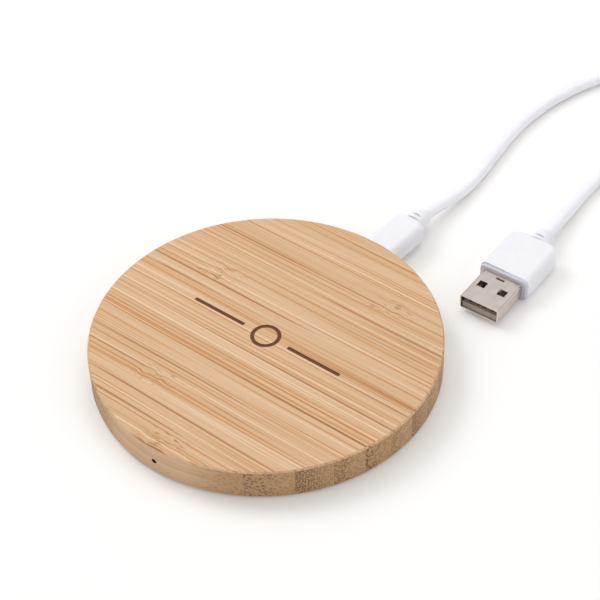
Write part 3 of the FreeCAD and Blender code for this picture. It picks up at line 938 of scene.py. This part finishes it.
@dataclass
class StoredTurns:
    """The part of the cord that is wound up: two layers of turns, in on top and out below."""

    centre: tuple[float, float]
    outer: float
    inner: float
    low: float
    high: float
    turns: float = 6.5
    points_per_turn: int = 20
    drop_share: float = 0.3

    def points(self) -> list[Point]:
        """Work out the control points of the turns, clockwise from the far side.

        Returns:
            Points in metres, in order along the cord.
        """
        count = int(self.turns * self.points_per_turn)
        half = self.turns / 2
        # Control points stand a little outside the circle that they draw.
        swell = 1 / math.cos(math.pi / self.points_per_turn)
        found = []
        for step in range(1, count):
            turn = step / self.points_per_turn
            angle = math.pi / 2 - math.tau * turn
            radius = self.inner + (self.outer - self.inner) * abs(turn - half) / half
            sink = min(max((turn - half) / self.drop_share + 0.5, 0.0), 1.0)
            height = self.high + (self.low - self.high) * sink
            found.append((self.centre[0] + radius * swell * math.cos(angle),
                          self.centre[1] + radius * swell * math.sin(angle), height))
        return found


@dataclass
class Lead:
    """The flexible cord between the two plugs, with the strap round its stored turns."""

    workshop: Workshop
    nodes: dict[str, bpy.types.Object]
    diameter: float = 3.6 * MM
    length: float = 1.0
    turn_columns: float = 4.25
    curve_order: int = 3
    section_steps: int = 7
    span_steps: int = 8
    strap_thickness: float = 0.6 * MM
    strap_width: float = 8.0 * MM
    strap_corner: float = 2.2 * MM
    strap_fill: float = 0.96
    strap_rows: int = 5
    corner_steps: int = 6
    lap_share: float = 0.62
    lap_rise: float = 3.0 * MM
    lap_length: float = 6.0 * MM
    pad_side: Sequence[Point] = (
        (3.06, 70.13, 4.5), (4.2, 79.6, 3.4), (4.9, 89.5, 1.9), (3.9, 100.5, 1.8), (2.2, 112.5, 1.8),
        (1.2, 125.5, 1.8), (2.3, 138.5, 1.8), (5.6, 151.3, 1.8), (10.8, 162.8, 1.8), (18.2, 173.0, 2.3),
        (28.2, 181.3, 3.9), (40.6, 186.2, 5.5), (54.0, 187.45, 6.0))
    plug_side: Sequence[Point] = (
        (54.0, 136.55, 2.4), (44.9, 135.6, 2.2), (37.6, 129.7, 1.9), (34.3, 120.2, 1.8), (33.9, 108.5, 1.8),
        (34.9, 96.5, 2.2), (35.775, 83.986, 3.75))
    with_pieces: Sequence[str] = (
        "port_plug_body", "port_plug_shell", "port_plug_insert", "port_plug_contacts", "port_plug_collar",
        "usb_plug_collar", "usb_plug_body", "usb_plug_shell", "usb_plug_insulator", "usb_plug_contacts")

    def ring(self) -> tuple[tuple[float, float], float, float, float, float]:
        """Read the stored ring's place and size from the frame.

        Returns:
            Its centre, outer radius, inner radius, bottom and top.
        """
        low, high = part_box("cord_coil")
        centre = ((low[0] + high[0]) / 2, (low[1] + high[1]) / 2)
        outer = (high[0] - low[0]) / 2
        inner = outer - self.turn_columns * self.diameter
        return centre, outer, inner, low[2], high[2]

    def build(self) -> None:
        centre, outer, inner, low, high = self.ring()
        half = self.diameter / 2
        turns = StoredTurns(centre, outer - half, inner + half, low + half, high - half)
        cord = self.cord(turns)
        strap = self.strap(centre[1], centre[0] + inner, centre[0] + outer, low, high)

    def cord(self, turns: StoredTurns) -> bpy.types.Object:
        """Make the cord as one smooth spline with a round section.

        Args:
            turns: The wound part.

        Returns:
            The cord's curve object.
        """
        route = [tuple(value * MM for value in point) for point in self.pad_side]
        route += turns.points()
        route += [tuple(value * MM for value in point) for point in self.plug_side]
        data = bpy.data.curves.new("lead_cord", "CURVE")
        data.dimensions = "3D"
        data.bevel_depth = self.diameter / 2
        data.bevel_resolution = self.section_steps
        data.resolution_u = self.span_steps
        data.use_fill_caps = True
        spline = data.splines.new("NURBS")
        spline.points.add(len(route) - 1)
        for target, place in zip(spline.points, route):
            target.co = (*place, 1.0)
        spline.order_u = self.curve_order
        spline.use_endpoint_u = True
        piece = bpy.data.objects.new("lead_cord", data)
        bpy.context.scene.collection.objects.link(piece)
        self.workshop.dress(piece, "cord_jacket")
        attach(piece, LEAD_BODY)
        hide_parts("cord_from_pad", "cord_coil", "cord_to_plug")
        LOG.info("built lead_cord with %d control points", len(route))
        return piece

    def strap_outline(self, near: float, far: float, low: float, high: float) -> list[tuple[float, float]]:
        """Work out a rounded rectangle round the bundle of turns, seen along the strap's width.

        Args:
            near: X of the bundle's inner side.
            far: X of its outer side.
            low: Its underside.
            high: Its top.

        Returns:
            Places (x, z) in order, open at the start.
        """
        corner = self.strap_corner
        corners = ((far - corner, high - corner, 0.0), (near + corner, high - corner, 90.0),
                   (near + corner, low + corner, 180.0), (far - corner, low + corner, 270.0))
        places = []
        for x, z, first in corners:
            for step in range(self.corner_steps + 1):
                angle = math.radians(first + 90.0 / self.corner_steps * step)
                places.append((x + corner * math.cos(angle), z + corner * math.sin(angle)))
        return places

    def strap(self, middle: float, near: float, far: float, low: float, high: float) -> bpy.types.Object:
        """Make the woven strap that holds the turns, with its free end lapped on top.

        Args:
            middle: Y of the strap's centre line.
            near: X of the bundle's inner side.
            far: X of its outer side.
            low: The bundle's underside.
            high: Its top.

        Returns:
            The strap's mesh object.
        """
        gap = self.strap_thickness / 2
        corner = self.corner_steps + 1
        outline = self.strap_outline(near - gap, far + gap, low - gap, high + gap)
        lap_x = near + (far - near) * self.lap_share
        lap = [(far - self.lap_rise, high + 1.6 * gap), (lap_x, high + 3 * gap),
               (lap_x - self.lap_length, high + 3 * gap)]
        loop = [(lap_x, high + gap)] + outline[corner:] + outline[:corner] + lap
        rows = self.strap_rows
        verts = [(x, middle + self.strap_width * (row / (rows - 1) - 0.5), z) for x, z in loop for row in range(rows)]
        starts = [i * rows + row for i in range(len(loop) - 1) for row in range(rows - 1)]
        faces = [(a, a + 1, a + rows + 1, a + rows) for a in starts]
        mesh = bpy.data.meshes.new("coil_strap")
        mesh.from_pydata(verts, [], faces)
        mesh.polygons.foreach_set("use_smooth", [True] * len(mesh.polygons))
        piece = bpy.data.objects.new("coil_strap", mesh)
        bpy.context.scene.collection.objects.link(piece)
        shell = piece.modifiers.new("thickness", "SOLIDIFY")
        shell.thickness = self.strap_thickness * self.strap_fill
        shell.offset = 0.0
        self.workshop.dress(piece, "tie_strap")
        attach(piece, LEAD_BODY)
        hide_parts("coil_tie")
        LOG.info("built coil_strap with %d places round the turns", len(loop))
        return piece


@dataclass(frozen=True)
class Softbox:
    """One square lamp, with its place and side in metres and its power in watts."""

    name: str
    place: Point
    side: float
    power: float


@dataclass
class Studio:
    """Pale floor, soft lamps and the camera."""

    floor_reach: float = 6.0
    floor_drop: float = 0.02 * MM
    floor_colour: Rgb = from_display(236, 235, 233)
    floor_glow: float = 0.11
    far_glow: float = 0.8
    glow_tint: Rgb = (1.0, 0.995, 0.985)
    glow_from_mm: float = 250.0
    glow_full_mm: float = 1400.0
    sky_overhead: float = 0.66
    sky_level: float = 0.48
    softboxes: Sequence[Softbox] = (
        Softbox("key_softbox", (-0.70, 0.02, 0.80), 0.5, 4.0),
        Softbox("top_softbox", (-0.10, 0.35, 1.05), 0.7, 2.4),
        Softbox("low_fill", (-0.35, -0.75, 0.45), 0.6, 0.8),
        Softbox("side_fill", (0.80, 0.10, 0.34), 0.6, 1.2))
    aim: Point = (0.01, 0.03, 0.0)
    camera_place: Point = (0.2087, -0.2434, 0.3343)
    heading_deg: float = 128.925
    pitch_deg: float = 44.18
    roll_deg: float = -1.99
    lens_mm: float = 102.73
    sensor_mm: float = 36.0
    near_clip: float = 10 * MM

    def build(self) -> None:
        """Make everything that stands round the object."""
        self.floor()
        self.world()
        for softbox in self.softboxes:
            self.lamp(softbox)
        self.camera()

    def floor(self) -> None:
        """Lay the pale floor, which shows a little brighter to the camera and keeps shadows."""
        half = self.floor_reach / 2
        corners = [(-half, -half, 0.0), (half, -half, 0.0), (half, half, 0.0), (-half, half, 0.0)]
        mesh = bpy.data.meshes.new("floor")
        mesh.from_pydata(corners, [], [(0, 1, 2, 3)])
        floor = bpy.data.objects.new("floor", mesh)
        floor.location.z = -self.floor_drop
        bpy.context.scene.collection.objects.link(floor)
        bench = NodeBench("pale_floor")
        path = bench.add("ShaderNodeLightPath")
        seen = bench.math("MAXIMUM", path.outputs["Is Camera Ray"], path.outputs["Is Glossy Ray"])
        seen = bench.math("MAXIMUM", seen, path.outputs["Is Transmission Ray"])
        bench.set(Base_Color=self.floor_colour, Roughness=0.9, Emission_Color=self.glow_tint)
        x, y, _ = bench.place()
        reach = bench.math("SQRT", bench.math("ADD", bench.math("MULTIPLY", x, x), bench.math("MULTIPLY", y, y)))
        glow = bench.fade(reach, self.glow_from_mm, self.glow_full_mm, self.floor_glow, self.far_glow)
        bench.set(Emission_Strength=bench.math("MULTIPLY", seen, glow))
        bench.surface.inputs["Specular IOR Level"].default_value = 0.1
        mesh.materials.append(bench.material)

    def world(self) -> None:
        """Light the scene softly, most from overhead, and show white where the floor ends."""
        world = bpy.data.worlds.new("studio")
        bpy.context.scene.world = world
        world.use_nodes = True
        tree = world.node_tree
        backdrop = tree.nodes["Background"]
        coords = tree.nodes.new("ShaderNodeTexCoord")
        parts = tree.nodes.new("ShaderNodeSeparateXYZ")
        sky = tree.nodes.new("ShaderNodeMapRange")
        sky.inputs["To Min"].default_value = self.sky_level
        sky.inputs["To Max"].default_value = self.sky_overhead
        path = tree.nodes.new("ShaderNodeLightPath")
        shown = tree.nodes.new("ShaderNodeMath")
        shown.operation = "MAXIMUM"
        tree.links.new(coords.outputs["Generated"], parts.inputs[0])
        tree.links.new(parts.outputs["Z"], sky.inputs["Value"])
        tree.links.new(path.outputs["Is Camera Ray"], shown.inputs[0])
        tree.links.new(sky.outputs["Result"], shown.inputs[1])
        tree.links.new(shown.outputs[0], backdrop.inputs["Strength"])
        backdrop.inputs["Color"].default_value = (1.0, 1.0, 1.0, 1.0)

    def lamp(self, softbox: Softbox) -> None:
        """Hang one soft lamp that faces the object.

        Args:
            softbox: What to hang.
        """
        data = bpy.data.lights.new(softbox.name, "AREA")
        data.shape = "SQUARE"
        data.size = softbox.side
        data.energy = softbox.power
        lamp = bpy.data.objects.new(softbox.name, data)
        lamp.location = softbox.place
        lamp.rotation_euler = (Vector(self.aim) - Vector(softbox.place)).to_track_quat("-Z", "Y").to_euler()
        bpy.context.scene.collection.objects.link(lamp)

    def camera(self) -> None:
        """Stand the camera where the whole disc and the near part of the lead show."""
        data = bpy.data.cameras.new("studio_camera")
        data.sensor_width = self.sensor_mm
        data.lens = self.lens_mm
        data.clip_start = self.near_clip
        camera = bpy.data.objects.new("studio_camera", data)
        heading = math.radians(self.heading_deg)
        pitch = math.radians(self.pitch_deg)
        roll = math.radians(self.roll_deg)
        ahead = Vector((math.cos(heading), math.sin(heading), 0.0))
        right = Vector((math.sin(heading), -math.cos(heading), 0.0))
        forward = ahead * math.cos(pitch) - Vector((0, 0, 1)) * math.sin(pitch)
        up = ahead * math.sin(pitch) + Vector((0, 0, 1)) * math.cos(pitch)
        across = right * math.cos(roll) + up * math.sin(roll)
        upward = up * math.cos(roll) - right * math.sin(roll)
        turned = Matrix((across, upward, -forward)).transposed().to_4x4()
        camera.matrix_world = Matrix.Translation(Vector(self.camera_place)) @ turned
        bpy.context.scene.collection.objects.link(camera)
        bpy.context.scene.camera = camera


def main() -> None:
    """Load the frame, dress it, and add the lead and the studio."""
    logging.basicConfig(level=logging.INFO, format="%(message)s")
    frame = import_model()
    bpy.context.scene.view_settings.view_transform = "Standard"
    workshop = Workshop()
    workshop.stock()
    RigidPieces(frame["nodes"], frame["record"]["subparts"], workshop).dress()
    Lead(workshop, frame["nodes"]).build()
    Studio().build()


if __name__ == "__main__":
    main()
